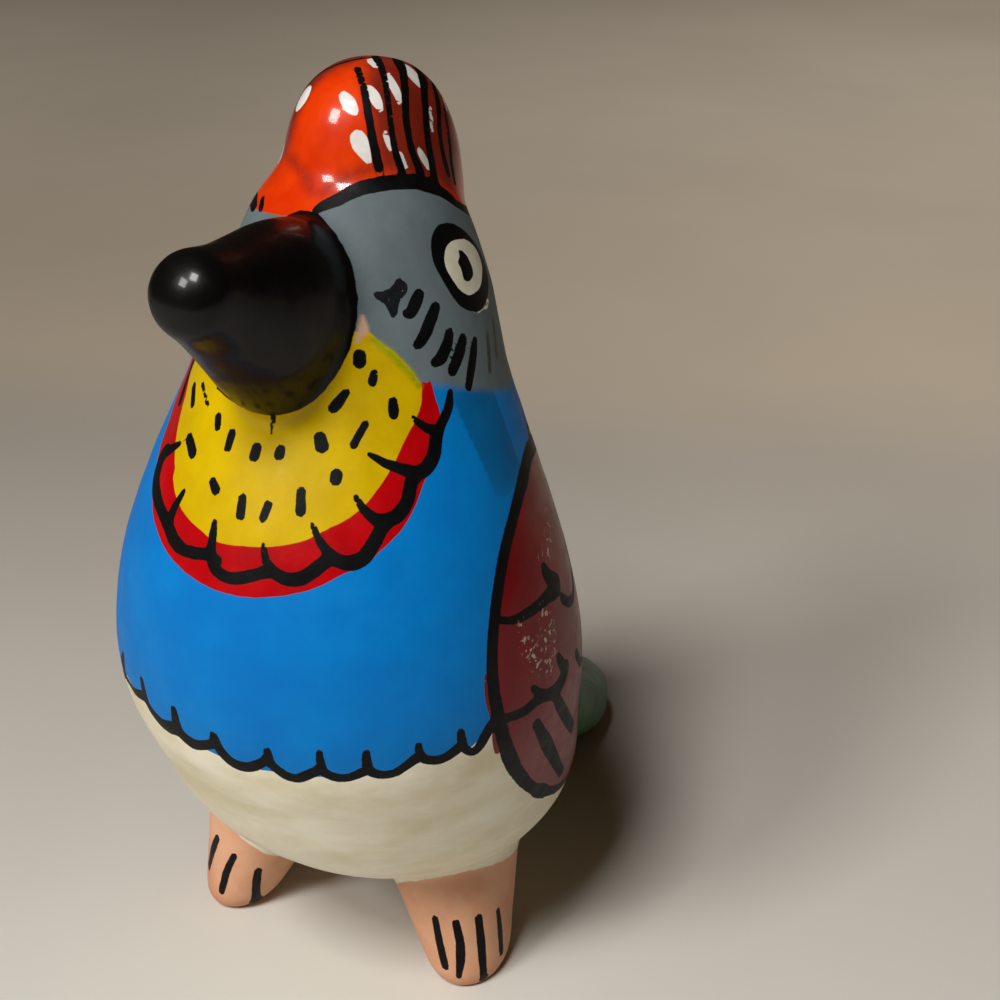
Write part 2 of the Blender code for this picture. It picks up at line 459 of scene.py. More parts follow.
beakRing = (
    (318, 213), (337, 236), (350, 260), (356, 285), (357.5, 310), (353.5, 337), (345, 360), (331, 383),
    (315, 400), (296, 411), (275, 415.5), (252, 412), (230, 400), (216, 388),
)
beakAxis = {
    "root": (0.0, -0.0298, 0.0971),
    "rise": 26.5,
    "unseenGap": 4.0,  # degrees between the traced ring and its mirror image
    "behind": -0.012,  # how far behind the root the paint may reach, along the beak
}


def paintBeak():
    rise = math.radians(beakAxis["rise"])
    forward = np.array((0.0, -math.cos(rise), math.sin(rise)))
    upward = np.array((0.0, math.sin(rise), math.cos(rise)))

    def roundAxis(points):
        points = points - np.array(beakAxis["root"])
        angle = np.degrees(np.arctan2(points[:, 0], points @ upward)) % 360
        return angle, np.hypot(points[:, 0], points @ upward), points @ forward

    angle, radius = roundAxis(traceEdge(beakRing))[:2]
    unseen = 360 - angle > angle.max() + beakAxis["unseenGap"]  # the far side follows the near one
    angle = np.concatenate([angle, 360 - angle[unseen]])
    radius = np.concatenate([radius, radius[unseen]])
    order = np.argsort(angle)
    spotAngle, spotRadius, spotAhead = roundAxis(skinPoints)
    edge = np.interp(spotAngle, angle[order], radius[order], period=360)
    field = np.where(spotAhead > beakAxis["behind"], edge - spotRadius, -brushSettings["reach"])
    fields["beak"] = withinReach(field)


paintBeak()
print("beak painted")

# Face: grey, with a ringed eye, a painted highlight beside the ring, and short cheek strokes

faceLine = roundBird(
    ((-30, .094), (0, .096), (30, .094)),
    ((52, .0906), (63, .0896), (77, .0879), (94, .0859), (120, .084), (150, .083), (180, .083)),
)
eyeShapes = {
    "ring": ((446, 222.5), (456, 225), (466, 232), (475, 243), (482, 256), (487, 272), (488.5, 288),
        (486, 302), (479, 311), (470, 311), (459, 305), (449, 291), (440, 276), (433.5, 262),
        (430.8, 248), (432.5, 234), (438.5, 225)),
}
whitesAndHighlightOfEyes = {
    "white": ((462.5, 239), (470, 242), (477, 251), (481.5, 264), (482, 277), (479, 289), (470, 294.8),
        (461, 291), (454, 282), (447, 270), (444.3, 258), (446.5, 247), (453, 240.5)),
    # a painted highlight: a thin cream crescent on the eye ring's outer edge
    "painted highlight": ((487.4, 297), (489.2, 302), (486, 309.5), (478, 313.5), (472, 311.8), (478, 311.8),
        (484, 307.5)),
}
eyePupils = {
    "pupil": ((458, 250), (463, 251), (466.5, 255.5), (470, 262), (473, 271), (472.5, 277),
        (468.5, 281.8), (463.5, 279), (461.5, 270), (458, 262), (459.5, 256)),
}
cheekShapes = {
    "smudge": ((371.6, 290.5), (380, 291), (388, 289.5), (394, 283), (398.4, 278.5), (404, 281),
        (407.6, 287), (404, 295), (399, 305), (398, 312), (393, 319), (389, 312), (383, 303), (376, 299)),
}
cheekStrokes = {
    "first": ((419, 294, 11), (415.5, 303, 13), (410.5, 313, 12), (405.5, 313.5, 8)),
    "second": ((435.7, 307, 10), (430.5, 321, 12), (423, 338, 12), (417.5, 345, 10)),
    "third": ((449.5, 332, 8), (447, 345, 11), (440, 359, 12), (434, 362.5, 9.5)),
    "fourth": ((463, 338.5, 8), (459.5, 353, 10.5), (452.5, 370.5, 10)),
    "fifth": ((475, 340, 5), (473, 357, 7.5), (468.5, 387, 7)),
}
cheekFaint = {
    "sixth": ((487.3, 333, 3), (489, 352, 3.5), (489.8, 373, 3)),
    "seventh": ((493, 318, 3), (495, 338, 3.5), (496.9, 358, 3)),
}


def paintFace():
    heightLine("face", faceLine)
    patchesOn("ink", eyeShapes, both=True)
    # the eye whites, and the painted highlight beside each ring
    patchesOn("whiteAndHighlightOfEye", whitesAndHighlightOfEyes, both=True)
    patchesOn("pupil", eyePupils, both=True)
    patchesOn("smudge", cheekShapes, both=True)
    strokesOn("ink", cheekStrokes, both=True)
    strokesOn("faintInk", cheekFaint, both=True)


paintFace()
print("face painted")

# Bib: yellow with black dashes, inside a red band with a black scalloped line

redEdge = (
    (154, 477.8), (152.3, 500.7), (155.1, 523.7), (166.6, 551.2), (184.9, 571.9), (210.2, 588),
    (237.8, 596), (265.3, 597.6), (295.2, 593.7), (320.4, 585.7), (343.4, 574.2), (364, 566.1),
    (380.1, 551.2), (400.8, 530.6), (414.5, 507.6), (426, 477.8), (436, 455), (441, 430), (439.8, 413.5),
    (435, 396), (430.6, 380.2),
)
yellowEdge = (
    (173, 477.8), (175.8, 496.1), (184.9, 514.5), (201, 530.6), (217.1, 542), (237.8, 545.5),
    (260.7, 547.1), (283.7, 545.5), (306.6, 539.7), (329.6, 528.3), (352.5, 515.6), (370.9, 498.4),
    (387, 475.5), (398.5, 454.8), (405.4, 438.7), (414.5, 422.7), (420.5, 406), (421.4, 395.1),
    (421, 384), (408, 366), (396.5, 354), (380, 342), (367.8, 331),
)
bibScallops = {
    "hook": ((450.1, 391, 5), (449.6, 400, 8.5), (447.5, 411, 9), (441.5, 424, 10), (436.3, 436.4, 13),
        (434.5, 452, 14), (428, 466, 15), (418, 472.5, 15), (405.4, 470, 13), (387, 464, 10),
        (375, 457.5, 7), (369.5, 454.5, 5)),
    "hook arm": ((413.2, 417.5, 5), (420, 424, 8), (428.3, 428.4, 10), (437, 431, 11)),
    "second": ((421, 472, 13), (411.5, 482.4, 14), (407.5, 500.7, 14), (397.5, 515.5, 15), (383, 521, 15),
        (372, 517, 12), (363, 508.5, 9), (356, 497.3, 6)),
    "third": ((388, 521, 13), (381, 530, 15), (373.2, 544.3, 15), (362, 559, 16), (347, 563, 16),
        (333, 557, 13), (320.4, 542, 9), (312.4, 524.8, 6)),
    "fourth": ((338, 560, 12), (326, 561.5, 14), (313.5, 571, 15), (299, 579, 15), (285, 578.5, 14),
        (273.5, 572, 12), (266, 560.4, 9), (263.5, 545.5, 6)),
    "fifth": ((278, 574, 11), (268.7, 571.9, 13), (256.1, 574.5, 13), (237, 578.5, 13), (223, 575.5, 12),
        (213.5, 566, 11), (211.6, 551.2, 9), (213, 535.2, 8), (214.8, 522.5, 6)),
    "sixth": ((217, 561, 11), (208, 554.5, 12), (194.1, 553, 13), (181, 548, 12), (172, 536, 11),
        (169.5, 521.4, 8), (175.8, 505.3, 6.5), (183.8, 491.5, 4)),
    "seventh": ((170.5, 534, 9), (164.8, 519.1, 9), (158, 500.7, 8), (156, 482.3, 8), (159.5, 464, 8),
        (164.3, 453, 8), (171.2, 449, 6), (180.4, 443.3, 3.5)),
}
bibFarHook = ((-46, 84.5, 1.3), (-50.5, 87, 1.2), (-53, 90, 1.2), (-58, 91.5, 1.0))
bibDashes = {
    "by the beak": ((359.4, 355.5, 13), (359.4, 362, 14)),
    "next down": ((374.4, 373, 8), (372.4, 382.5, 9.5)),
    "slanting": ((346.3, 392, 8), (338.5, 402, 11), (333.5, 408, 11.5)),
    "at the red": ((392.9, 401, 9.5), (393.4, 409, 11), (393.6, 415, 10)),
    "long slant": ((365.5, 423.5, 8), (353.5, 445, 8.5)),
    "broad": ((319.8, 437.5, 13), (322, 446.5, 14.5)),
    "lone": ((336.6, 474.5, 12.5), (335.6, 480, 12.5)),
    "middle right": ((280.6, 449.5, 10), (279.2, 455, 11)),
    "middle left": ((256.8, 448, 10), (254, 457, 10)),
    "left slant": ((232, 433, 7.5), (227.6, 448.5, 7.5)),
    "left upper": ((218.2, 416.5, 6), (217.6, 427, 6.5)),
    "thin inner": ((202.4, 384, 3), (207.7, 405.5, 3)),
    "thin outer": ((193.7, 386, 4), (192.6, 404.5, 4)),
    "left edge": ((189, 438, 7), (192.6, 453, 8.5)),
    "low left": ((212.5, 481.5, 8), (216, 490, 9.5)),
    "low middle": ((242.3, 498, 8.5), (240.4, 515.5, 9.5)),
    "low slant": ((268.4, 504, 8.5), (263.2, 518.5, 9)),
    "low right": ((301.1, 491.5, 10), (300.6, 511.5, 11)),
}
beakCrack = {"below the beak": ((273.3, 413, 3.5), (273.1, 421, 2.5), (272.7, 433.5, 1.2))}
oliveBand = {
    "where yellow meets grey": ((371.6, 339.5, 5), (384, 348.5, 7), (398, 361, 8), (411, 374.5, 7),
        (419.5, 385.5, 4)),
}
bibPaint = {
    "clearance": 0.0008,  # the mirrored edges start this far above the traced ones
    "redFarSide": -0.0125,
    "yellowFarSide": -0.0060,
}
bareClay = {
    "behind the beak": ((361.5, 312), (366.5, 321), (368, 331), (362.5, 338), (355.5, 344), (357.5, 330)),
}


def closedRound(edge, farSide):
    # the edge as traced, and then its mirror image on the far side of the bird
    far = mirrored(edge[::-1])
    far = far[(far[:, 2] > edge[0, 2] + bibPaint["clearance"]) & (far[:, 0] < farSide)]
    return np.vstack([edge, far])


def paintBib():
    wrapPatch("bibRed", closedRound(traceEdge(redEdge), bibPaint["redFarSide"]))
    wrapPatch("bibYellow", closedRound(traceEdge(yellowEdge), bibPaint["yellowFarSide"]))
    strokesOn("ink", bibScallops)
    strokesOn("ink", bibDashes)
    strokesOn("ink", beakCrack)
    wrapStrokes("ink", {"far hook": bibFarHook})
    strokesOn("olive", oliveBand, both=True)
    patchesOn("bare", bareClay, both=True)


paintBib()
print("bib painted")

# Breast: blue, ended by a black line of scallops with upward spikes, over a cream belly, with painted shade
# below the cheek

breastScallops = {
    "at the edge": ((123.4, 655, 4), (122.6, 664, 6), (125.3, 674.4, 6), (129.1, 682, 4),
        (135.5, 692, 4.5), (145, 697, 6)),
    "edge spike": ((141.9, 680, 4), (143.4, 688.5, 4.5), (147, 702, 5), (154.6, 715, 6),
        (164.8, 725.3, 7), (175, 729, 9)),
    "second": ((173.8, 709.5, 5), (175.2, 717, 6), (178, 728, 7), (184, 736.9, 7.5), (192.9, 743.5, 8),
        (203.1, 745.2, 8), (214, 744, 9)),
    "third": ((213.6, 736, 7), (215.9, 741.5, 7.5), (219, 748.5, 8), (226.1, 757.3, 8), (235, 764, 8.5),
        (245.2, 767, 9), (255.4, 765.6, 9.5), (266, 760.5, 9.5)),
    "fourth": ((266.9, 750, 7), (268.3, 756, 8), (271.5, 764, 8), (279.6, 771.4, 8), (288.6, 776.6, 8),
        (298.8, 778.4, 8.5), (308, 775, 9.5), (319.5, 770, 10)),
    "fifth": ((319.4, 752.5, 7), (320.1, 760, 8.5), (323, 770.4, 9), (329.5, 775.4, 8.5),
        (340.2, 778.1, 8), (350.9, 777.1, 8), (362, 772.5, 9.5)),
    "sixth": ((366.4, 753, 8), (366.6, 760, 9.5), (369.5, 770.4, 9.5), (376.3, 774.1, 8.5),
        (385.7, 775, 8), (396.4, 772.4, 8), (405.8, 766.3, 8.5), (416, 758.5, 10)),
    "seventh": ((418.5, 745.5, 7.5), (419.3, 751, 8.5), (423, 758, 9), (431.3, 760.3, 8.5),
        (439.3, 759.6, 8.5), (448.7, 755.6, 9), (458, 748.5, 10)),
    "eighth": ((460.7, 732, 7.5), (461.6, 740, 9), (464.8, 748.5, 9), (470.1, 751.6, 7),
        (476.8, 749.5, 8), (483.5, 739.6, 9.5), (490.2, 727.5, 10), (498.2, 718.5, 10)),
}
breastFarScallops = {
    "first": ((-36.5, 55.5, .6), (-38, 53.2, .9), (-41, 51.4, 1.1), (-44.5, 51.2, 1.1),
        (-47.5, 52.6, 1.2)),
    "second": ((-46.8, 56, .7), (-47.8, 53.6, 1.1), (-50.5, 51.6, 1.1), (-53.5, 51.9, 1.1),
        (-57.5, 54.5, 1.2)),
}
# Painted shade: a soft darker blue below the cheek and toward the wing
breastPaintedShade = {
    "below the cheek": ((476, 392, 44), (488, 412, 60), (497, 440, 56), (502, 470, 30)),
}
breastLine = roundBird(
    ((-57, .0535), (-52, .0522), (-47, .053), (-41, .0518), (-36, .053), (-25, .0525), (-14, .0517),
     (-3, .051), (3, .0503), (9, .0506), (15, .0502), (19, .0506), (24, .0504), (28, .0508), (32, .0508),
     (39, .0516), (42, .0511), (48, .0522), (51, .0514), (57, .0535)),
    ((62, .048), (75, .04), (90, .034), (100, .0315), (120, .029), (150, .028), (180, .027)),
)


def paintBreast():
    heightLine("breast", breastLine)
    # darker blue, painted as shade below the cheek
    strokesOn("paintedNeckShade", breastPaintedShade, both=True)
    strokesOn("ink", breastScallops)
    wrapStrokes("ink", breastFarScallops)


paintBreast()
print("breast painted")

# Wings: dark red, in a broad black outline, with two rows of scallops and feather strokes

wingFront = (
    (534, 441, 8), (528.4, 454.8, 9), (523, 478.9, 9.5), (513.7, 516.4, 10), (504.3, 553.9, 11),
    (497.6, 594.1, 11), (493.6, 628.9, 11), (492.2, 661.1, 11), (493.6, 687.9, 11.5), (497.6, 712, 12),
    (504.3, 741.4, 13), (515, 768.2, 14), (531, 787, 13), (546, 792, 11),
)
wingBehind = (
    (93, 31.8, 1.5), (105, 29.6, 1.6), (118, 29.2, 1.6), (131, 31.5, 1.6), (141, 36.5, 1.5),
    (148, 45, 1.4), (150, 55, 1.4), (146, 65, 1.4), (136, 73, 1.4), (122, 78, 1.3), (108, 79.4, 1.2),
    (102, 78.6, 1.1),
)
wingStrokes = {
    "upper scallop": ((499, 620, 8), (508, 620.5, 8.5), (517.7, 618.5, 9), (533.8, 609, 9),
        (549.8, 594.1, 9), (556, 585, 12)),
    "upper spike": ((543.6, 567, 5), (547, 575, 8), (556, 585, 12)),
    "lower scallop": ((497.6, 720, 9), (504.3, 718.7, 8), (523, 712, 8), (539.1, 699, 8),
        (555.2, 690.5, 9), (563.2, 677.1, 9), (565.5, 669, 9)),
    "lower spike": ((532.6, 688, 7), (538, 692, 9), (547, 694, 9)),
    "lower second spike": ((558, 656, 4), (561, 663, 6), (565.5, 669, 8)),
    "feather": ((536, 723, 8), (544, 738, 8.5), (552, 754, 7), (561.5, 772.5, 5.5)),
    "second feather": ((556, 697, 6), (563, 711, 7), (572.3, 727.5, 6)),
}
wingFarStrokes = {
    "upper second": ((88, 61.8, 1.4), (93, 60.0, 1.3), (100, 59.6, 1.3), (107, 61.6, 1.5)),
    "upper second spike": ((104.5, 64.5, .6), (106, 62.5, 1.3)),
    "upper third": ((107, 61.6, 1.4), (113, 59.0, 1.3), (121, 58.6, 1.3), (128, 61.0, 1.5)),
    "upper third spike": ((125.5, 64, .6), (127.5, 61.5, 1.3)),
    "upper last": ((128, 61, 1.4), (134, 58.6, 1.3), (141, 58.5, 1.3), (149, 60.5, 1.2)),
    "lower third": ((93, 53, 1.3), (98, 50.0, 1.3), (105, 49.0, 1.3), (112, 51, 1.4)),
    "lower third spike": ((109.5, 54, .6), (111.5, 51.5, 1.3)),
    "lower fourth": ((112, 51, 1.3), (118, 48.2, 1.3), (125, 47.8, 1.3), (131, 50, 1.4)),
    "lower fourth spike": ((128.5, 53, .6), (130.5, 50.5, 1.3)),
    "lower last": ((131, 50, 1.3), (137, 47.8, 1.3), (143, 47.6, 1.2), (148, 49, 1.2)),
    "third feather": ((104, 46, 1.0), (107, 41, 1.1), (110, 35.5, .8)),
    "fourth feather": ((116, 45.5, 1.0), (119, 41, 1.1), (122, 36, .8)),
    "fifth feather": ((128, 45, 1.0), (130.5, 42, 1.0), (133, 38.5, .8)),
}
redSlip = {
    "outside the line": ((486.5, 676, 2), (487.5, 690, 6), (489.5, 704, 6), (492, 717, 3)),
    "drip": ((494.5, 722, 5), (496.5, 738, 8), (498, 751, 6)),
}
wornPlaces = {
    "below the upper scallop": ((521, 625, 5), (526, 642, 9), (533, 655, 12), (537, 668, 9)),
    "near the shoulder": ((547, 512, 4), (550, 528, 7), (547, 550, 7), (541, 560, 4)),
    "middle": ((544, 610, 6), (549, 640, 14), (551, 665, 8)),
}


def paintWings():
    front = traceEdge([corner[:2] for corner in wingFront])
    behind, radii = wrapLine(wingBehind)
    wing = np.vstack([front, behind])
    wrapPatch("wing", wing)
    wrapPatch("wing", mirrored(wing))
    strokesOn("ink", {"outline": wingFront}, both=True)
    whole = np.vstack([front[-1:], behind, front[:1]])
    wide = np.concatenate([radii[:1], radii, radii[-1:]])
    layStroke(fields["ink"], whole, wide)
    layStroke(fields["ink"], mirrored(whole), wide)
    strokesOn("ink", wingStrokes, both=True)
    wrapStrokes("ink", wingFarStrokes, both=True)
    strokesOn("wing", redSlip, both=True)
    strokesOn("worn", wornPlaces, both=True)


paintWings()
print("wings painted")

# Legs: salmon, with short black toe strokes, and the green tail

legPaint = {
    "left leg": (0.0156, -0.0163),  # middle of the sole
    "right leg": (-0.0212, -0.0163),
    "soleRadius": 0.0075,
    "spread": 0.50,  # gain of the painted radius with height
    "highest": 0.0220,  # picture points above this lie on the belly
}
legHiddenEdges = {
    "left leg": ((-180, .0165), (-100, .0160), (180, .0165)),
    "right leg": ((-180, .0165), (-100, .0165), (-40, .0180), (10, .0180), (110, .0150), (180, .0165)),
}
legEdges = {
    "left leg": ((395, 884), (404, 882), (414.7, 881), (429, 879), (443, 876.4), (457, 873.5),
        (471, 870.3), (486, 866.5), (499, 862.3), (510, 856)),
    "right leg": ((222, 820), (229, 826), (236, 832.8), (243, 839), (250, 844.5), (257, 849),
        (264.5, 853), (273, 855.5), (281, 856)),
}
toeStrokes = {
    "near inner": ((435, 918, 6), (439.4, 941.8, 7), (445.3, 967, 6.5)),
    "near second": ((455.8, 922.5, 7.5), (460, 941.8, 9), (460.5, 960, 9), (458.9, 977, 5.5)),
    "near third": ((478.6, 917.5, 7.5), (481.6, 946.1, 8), (483.8, 978, 6)),
    "near outer": ((498, 910, 3.5), (500.1, 930.9, 4), (501.5, 952.6, 3.5)),
    "far outer": ((217.5, 837.5, 4), (212.5, 850.7, 4.5), (209, 865.9, 4)),
    "far second": ((234.3, 855.5, 6.5), (226.9, 871, 7), (221.5, 892, 6)),
    "far inner": ((258.3, 870, 7.5), (256.5, 883.2, 8), (256.1, 900, 7)),
}
tailPaint = {
    "start": (0.0, 0.0206, 0.0330),
    "lean": 52.0,  # degrees from level
    "frontMost": 0.014,  # the paint stays behind this
    "strokeWidth": 0.0010,
    "strokeSteps": 12,
    "above": 0.1,  # height from which the strokes are dropped onto the tail
}
tailStrokes = {
    "middle": ((0.0, 0.0290), (0.0, 0.0400)),
    "inner": ((0.0042, 0.0290), (0.0052, 0.0405)),
    "outer": ((0.0082, 0.0285), (0.0100, 0.0390)),
}


def paintLegs():
    field = emptyField()
    for name, edge in legEdges.items():
        across, along = legPaint[name]
        line = traceEdge(edge)
        line = line[line[:, 2] < legPaint["highest"]]
        seenTurns = np.degrees(np.arctan2(line[:, 0] - across, along - line[:, 1]))
        hiddenTurns, hiddenHeights = np.array(legHiddenEdges[name]).T
        turns = np.concatenate([hiddenTurns, seenTurns])
        heights = np.concatenate([hiddenHeights, line[:, 2]])
        order = np.argsort(turns)
        spotTurns = np.degrees(np.arctan2(skinPoints[:, 0] - across, along - skinPoints[:, 1]))
        below = np.interp(spotTurns, turns[order], heights[order]) - skinPoints[:, 2]
        aside = np.hypot(skinPoints[:, 0] - across, skinPoints[:, 1] - along)
        allowed = legPaint["soleRadius"] + legPaint["spread"] * skinPoints[:, 2]
        field = np.maximum(field, np.minimum(allowed - aside, below))
    fields["leg"] = withinReach(field)
    strokesOn("ink", toeStrokes)


def paintTail():
    lean = math.radians(tailPaint["lean"])
    along = np.array((0.0, math.cos(lean), -math.sin(lean)))
    beyond = (skinPoints - np.array(tailPaint["start"])) @ along
    beyond = np.minimum(beyond, skinPoints[:, 1] - tailPaint["frontMost"])
    fields["tail"] = withinReach(beyond)
    for ends in tailStrokes.values():
        for side in (1, -1):
            path = []
            for across, back in np.linspace(ends[0], ends[1], tailPaint["strokeSteps"]):
                above = Vector((side * across, back, tailPaint["above"]))
                hit = skinTree.ray_cast(above, Vector((0, 0, -1)))[0]
                if hit is not None:
                    path.append(hit)
            layStroke(fields["ink"], np.array(path), np.full(len(path), tailPaint["strokeWidth"] / 2))


paintLegs()
paintTail()
print("legs and tail painted")


def storeFields():
    for name, field in fields.items():
        layer = bird.data.attributes.new(name, "FLOAT", "POINT")
        layer.data.foreach_set("value", field.astype(np.float32))


storeFields()
print("paint stored:", ", ".join(sorted(fields)))

# Finishes

handFinish = {
    "edgeWobble": 0.00010,  # how unsteady a painted edge is
    "edgeGrain": 900.0,
    "brushRelief": 0.00004,
    "clayRelief": 0.00008,
    "clayGrain": 240.0,
    "streakShare": 0.55,  # fine streaks against broad clouds, in a paint's tone
    "broadGrain": 0.3,
    "toneSpan": (0.34, 0.66),
    "cloudSpan": (0.3, 0.7),
    "smudgeGrain": 2600.0,
    "smudgeSpan": (0.24, 0.32),
    "fleckGrain": 1500.0,
    "fleckSpan": (0.58, 0.61),
    "wornWobble": 4.0,
    "wornSoftness": 0.0008,
    "wornColour": (196, 178, 168),
    "wornRough": 0.6,
    "roughGrain": 320.0,
    "roughDrift": (-0.05, 0.06),
    "constants": {"Coat Roughness": 0.10, "IOR": 1.45, "Specular IOR Level": 0.13},
}
paintDefaults = {"size": 500, "stretch": 1.0, "rough": 0.42, "varnish": 0.10, "wobble": 1.0,
                 "softness": 0.00005, "cover": 1.0}
paints = {
    "cream": {"deep": (216, 205, 170), "light": (240, 234, 214), "size": 90, "stretch": 2.0, "rough": 0.4},
    "breast": {"deep": (0, 110, 188), "light": (0, 122, 198), "size": 130, "stretch": 1.3, "rough": 0.5,
               "varnish": 0.0, "wobble": 0.0},
    "wing": {"deep": (106, 0, 7), "light": (126, 0, 9), "size": 220, "stretch": 0.5, "rough": 0.38,
             "varnish": 0.25},
    "face": {"deep": (90, 101, 105), "light": (102, 114, 118), "size": 200, "stretch": 0.6, "rough": 0.52,
             "varnish": 0.0, "softness": 0.0007},
    "bibRed": {"deep": (160, 0, 6), "light": (182, 0, 8), "size": 240},
    "bibYellow": {"deep": (188, 154, 0), "light": (206, 174, 0), "size": 170},
    "olive": {"deep": (130, 130, 0), "light": (160, 165, 10), "size": 300, "wobble": 2.0,
              "softness": 0.0004},
    "bare": {"deep": (186, 140, 112), "light": (206, 170, 146), "size": 400, "rough": 0.6, "varnish": 0.0,
             "wobble": 2.0, "softness": 0.0003},
    "leg": {"deep": (206, 146, 112), "light": (222, 170, 136), "size": 160, "stretch": 0.7, "rough": 0.55,
            "varnish": 0.0, "wobble": 3.0, "softness": 0.0002},
    "tail": {"deep": (44, 92, 50), "light": (64, 112, 66), "size": 240, "varnish": 0.2, "wobble": 2.0},
    "crest": {"deep": (200, 40, 0), "light": (224, 62, 4), "size": 200, "stretch": 0.5, "rough": 0.34,
              "varnish": 0.55},
    # painted shade on the crest: dark red laid over the orange
    "paintedCrestShade": {"deep": (84, 22, 18), "light": (122, 36, 28), "size": 300, "stretch": 0.4, "rough": 0.34,
             "varnish": 0.55, "wobble": 4.0, "softness": 0.0012, "cover": 0.85},
    # painted shade on the breast: darker blue, half covering
    "paintedNeckShade": {"deep": (4, 62, 92), "light": (8, 84, 122), "size": 300, "stretch": 0.5, "rough": 0.5,
              "varnish": 0.0, "wobble": 3.0, "softness": 0.0024, "cover": 0.5},
    "beak": {"deep": (3, 3, 4), "light": (8, 8, 8), "size": 260, "rough": 0.36, "varnish": 0.22},
    "dots": {"deep": (214, 210, 204), "light": (236, 234, 230), "rough": 0.34, "varnish": 0.6},
    "smudge": {"deep": (12, 12, 15), "light": (26, 28, 32), "size": 900, "rough": 0.5, "varnish": 0.0,
               "wobble": 3.0},
    "faintInk": {"deep": (66, 62, 58), "light": (84, 78, 74), "rough": 0.5, "varnish": 0.0, "wobble": 2.0,
                 "softness": 0.0001},
    "ink": {"deep": (4, 4, 5), "light": (12, 12, 13), "rough": 0.5, "varnish": 0.0},
    # the eye whites, and the painted highlight crescent beside each eye ring
    "whiteAndHighlightOfEye": {"deep": (214, 208, 186), "light": (234, 230, 212)},
    "pupil": {"deep": (4, 4, 5), "light": (10, 10, 11)},
}
paintOrder = ("breast", "paintedNeckShade", "wing", "face", "tail", "leg", "bibRed", "bibYellow", "olive", "bare",
              "crest", "paintedCrestShade", "beak", "dots", "smudge", "faintInk", "ink", "whiteAndHighlightOfEye", "pupil")


def screenColour(levels):
    shares = [level / 255 for level in levels]
    linear = [share / 12.92 if share <= 0.04045 else ((share + 0.055) / 1.055) ** 2.4 for share in shares]
    return tuple(linear) + (1.0,)


def newGroup(name, takes, gives):
    group = bpy.data.node_groups.new(name, "ShaderNodeTree")
    for label, kind, value in takes:
        socket = group.interface.new_socket(name=label, in_out="INPUT", socket_type=kind)
        socket.default_value = value
    for label, kind in gives:
        group.interface.new_socket(name=label, in_out="OUTPUT", socket_type=kind)
    start = group.nodes.new("NodeGroupInput")
    end = group.nodes.new("NodeGroupOutput")
    return group, start, end


def addNode(tree, kind, **settings):
    node = tree.nodes.new(kind)
    for key, value in settings.items():
        setattr(node, key, value)
    return node


def feed(tree, socket, source):
    if isinstance(source, bpy.types.NodeSocket):
        tree.links.new(source, socket)
    else:
        socket.default_value = source


def mathNode(tree, operation, first, second=None, third=None):
    node = addNode(tree, "ShaderNodeMath", operation=operation)
    for socket, source in zip(node.inputs, (first, second, third)):
        if source is not None:
            feed(tree, socket, source)
    return node.outputs[0]


def vectorNode(tree, operation, first, second):
    node = addNode(tree, "ShaderNodeVectorMath", operation=operation)
    feed(tree, node.inputs[0], first)
    feed(tree, node.inputs["Scale" if operation == "SCALE" else 1], second)
    return node.outputs["Value" if operation == "DOT_PRODUCT" else "Vector"]


def objectPlace(tree):
    return addNode(tree, "ShaderNodeTexCoord").outputs["Object"]


def mixColours(tree, share, first, second):
    node = addNode(tree, "ShaderNodeMix", data_type="RGBA")
    feed(tree, node.inputs[0], share)
    feed(tree, node.inputs[6], first)
    feed(tree, node.inputs[7], second)
    return node.outputs[2]


def mixValues(tree, share, first, second):
    node = addNode(tree, "ShaderNodeMix", data_type="FLOAT")
    feed(tree, node.inputs[0], share)
    feed(tree, node.inputs[2], first)
    feed(tree, node.inputs[3], second)
    return node.outputs[0]


def ramp(tree, value, low, high, bottom=0.0, top=1.0):
    node = addNode(tree, "ShaderNodeMapRange", interpolation_type="SMOOTHSTEP")
    for name, source in (("Value", value), ("From Min", low), ("From Max", high),
                         ("To Min", bottom), ("To Max", top)):
        feed(tree, node.inputs[name], source)
    return node.outputs["Result"]


def grain(tree, place, size, detail=3.0, roughness=0.55):
    node = addNode(tree, "ShaderNodeTexNoise")
    feed(tree, node.inputs["Vector"], place)
    feed(tree, node.inputs["Scale"], size)
    feed(tree, node.inputs["Detail"], detail)
    feed(tree, node.inputs["Roughness"], roughness)
    return node.outputs["Fac"]


def makePaintEdge():
    group, start, end = newGroup("paintEdge", (("Distance", "NodeSocketFloat", 0.0),
                                               ("Wobble", "NodeSocketFloat", 1.0),
                                               ("Softness", "NodeSocketFloat", 0.00005)),
                                 (("Mask", "NodeSocketFloat"),))
    place = objectPlace(group)
    unsteady = mathNode(group, "SUBTRACT", grain(group, place, handFinish["edgeGrain"], 2.0), 0.5)
    unsteady = mathNode(group, "MULTIPLY", unsteady, handFinish["edgeWobble"] * 2)
    unsteady = mathNode(group, "MULTIPLY", unsteady, start.outputs["Wobble"])
    distance = mathNode(group, "ADD", start.outputs["Distance"], unsteady)
    below = mathNode(group, "MULTIPLY", start.outputs["Softness"], -1.0)
    group.links.new(ramp(group, distance, below, start.outputs["Softness"]), end.inputs["Mask"])
    return group


